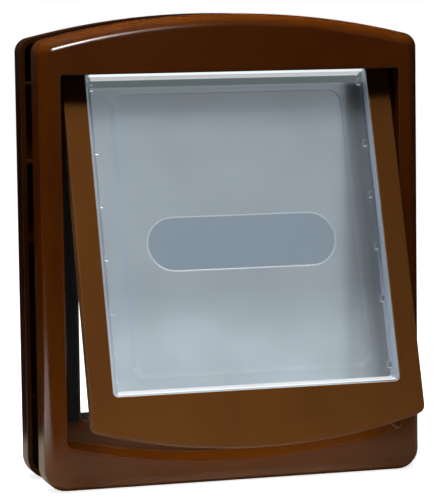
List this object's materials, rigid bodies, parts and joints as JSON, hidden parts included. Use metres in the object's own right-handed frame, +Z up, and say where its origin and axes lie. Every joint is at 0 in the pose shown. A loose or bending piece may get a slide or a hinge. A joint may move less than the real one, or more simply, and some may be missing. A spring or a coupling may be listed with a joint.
{
  "type": "cat flap",
  "caption": "Small door-mounted cat flap: arched brown frames on both faces of the door, a tunnel between them, and a top-hinged flap with a clear panel, shown open.",
  "frame": {"origin": "bottom middle of the front frame's seat on the door's outer face", "axes": "+Z up, +Y through the door from the outside to the inside, +X to the right seen from the outside"},
  "size_m": [0.198, 0.1057, 0.236],
  "materials": {
    "brown_plastic": "glossy dark brown moulded plastic",
    "black_plastic": "matt black moulded plastic",
    "clear_plastic": "clear moulded plastic, grey-blue against the light",
    "steel": "zinc plated steel",
    "magnet": "plain sintered magnet",
    "pile": "short black pile on a woven backing"
  },
  "bodies": {
    "housing": {"front_frame": "brown_plastic", "rear_frame": "brown_plastic", "tunnel_liner": "black_plastic", "sill_magnet": "magnet", "sill_magnet_cover": "brown_plastic", "weather_strip_left": "pile", "weather_strip_right": "pile", "weather_strip_head": "pile", "fixing_screw_bottom_left": "steel", "screw_cap_bottom_left": "brown_plastic", "fixing_screw_bottom_right": "steel", "screw_cap_bottom_right": "brown_plastic", "fixing_screw_top_left": "steel", "screw_cap_top_left": "brown_plastic", "fixing_screw_top_right": "steel", "screw_cap_top_right": "brown_plastic"},
    "flap": {"flap_surround": "brown_plastic", "clear_panel": "clear_plastic", "hinge_pin_left": "steel", "hinge_pin_right": "steel", "flap_magnet": "magnet", "flap_magnet_cover": "brown_plastic"}
  },
  "joints": [
    {"name": "flap_hinge", "type": "hinge", "parent": "housing", "child": "flap", "pos_m": [0, -0.00413, 0.21], "axis": [-1, 0, 0], "range_deg": [-16.94, 42]}
  ]
}
